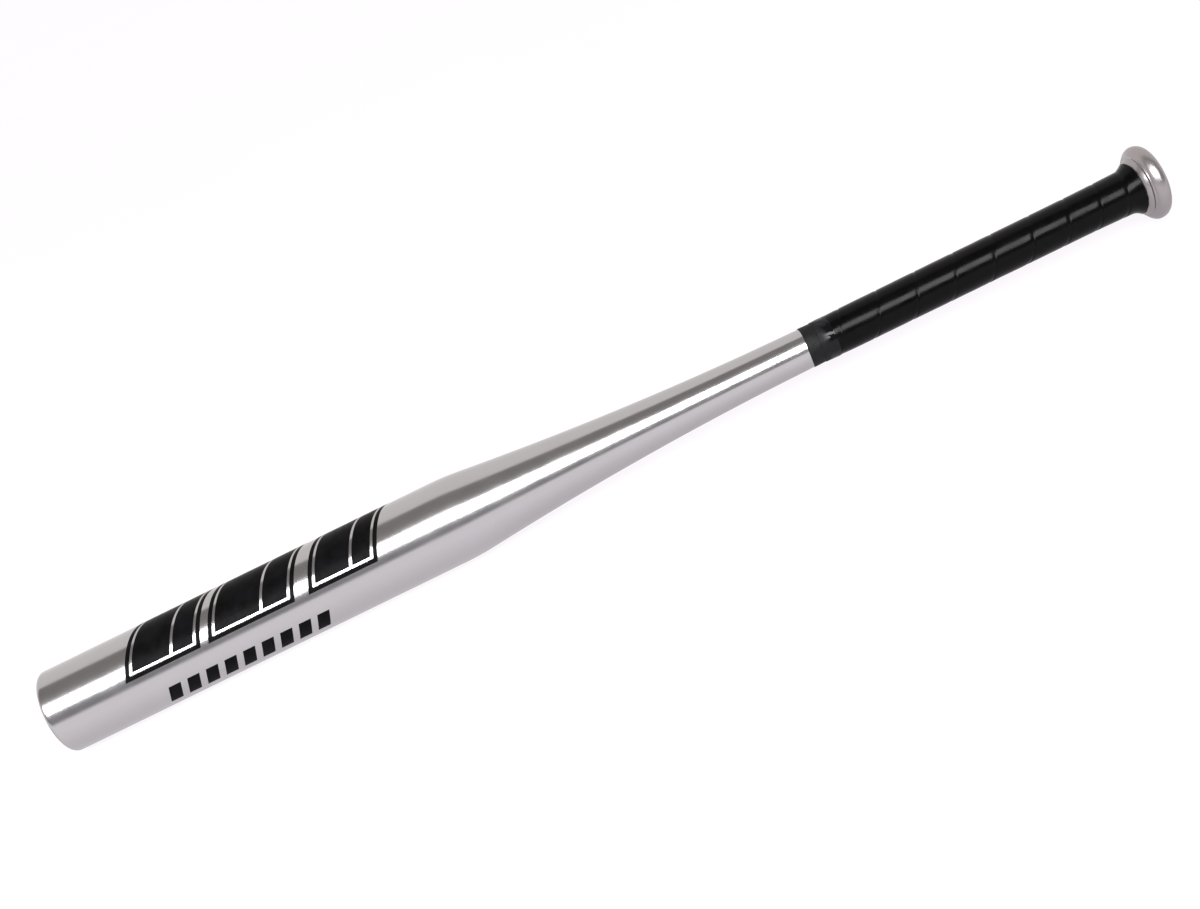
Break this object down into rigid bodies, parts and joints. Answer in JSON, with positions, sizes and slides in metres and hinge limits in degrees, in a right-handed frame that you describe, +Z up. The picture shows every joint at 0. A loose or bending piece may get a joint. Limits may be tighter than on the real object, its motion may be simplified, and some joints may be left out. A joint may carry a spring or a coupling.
{
  "type": "baseball bat",
  "caption": "One-piece aluminium baseball bat: hollow round barrel tapering to a slim handle with a spiral-wrapped grip, welded round knob and rubber-plugged barrel end.",
  "frame": {"origin": "under the middle of the bat's length, on the surface that the barrel lies on", "axes": "+X along the bat from the barrel's end towards the knob, +Z up, +Y across"},
  "size_m": [0.7956, 0.0572, 0.0571],
  "materials": {
    "polished_aluminium": "polished, with a very fine brushed grain",
    "knob_aluminium": "polished casting",
    "weld_metal": "as welded, ground",
    "black_rubber": "matt moulded",
    "damper_foam": "closed-cell foam",
    "backing_film": "adhesive-backed film",
    "grip_leatherette": "smooth black leatherette with a soft gloss",
    "vinyl_tape": "glossy black vinyl"
  },
  "bodies": {
    "root": {"bat_tube": "polished_aluminium", "knob": "knob_aluminium", "knob_weld": "weld_metal", "knob_vent_plug": "black_rubber", "end_plug": "black_rubber", "foam_damper": "damper_foam", "grip_underlay": "backing_film", "grip_wrap": "grip_leatherette", "finishing_tape": "vinyl_tape"}
  },
  "joints": []
}
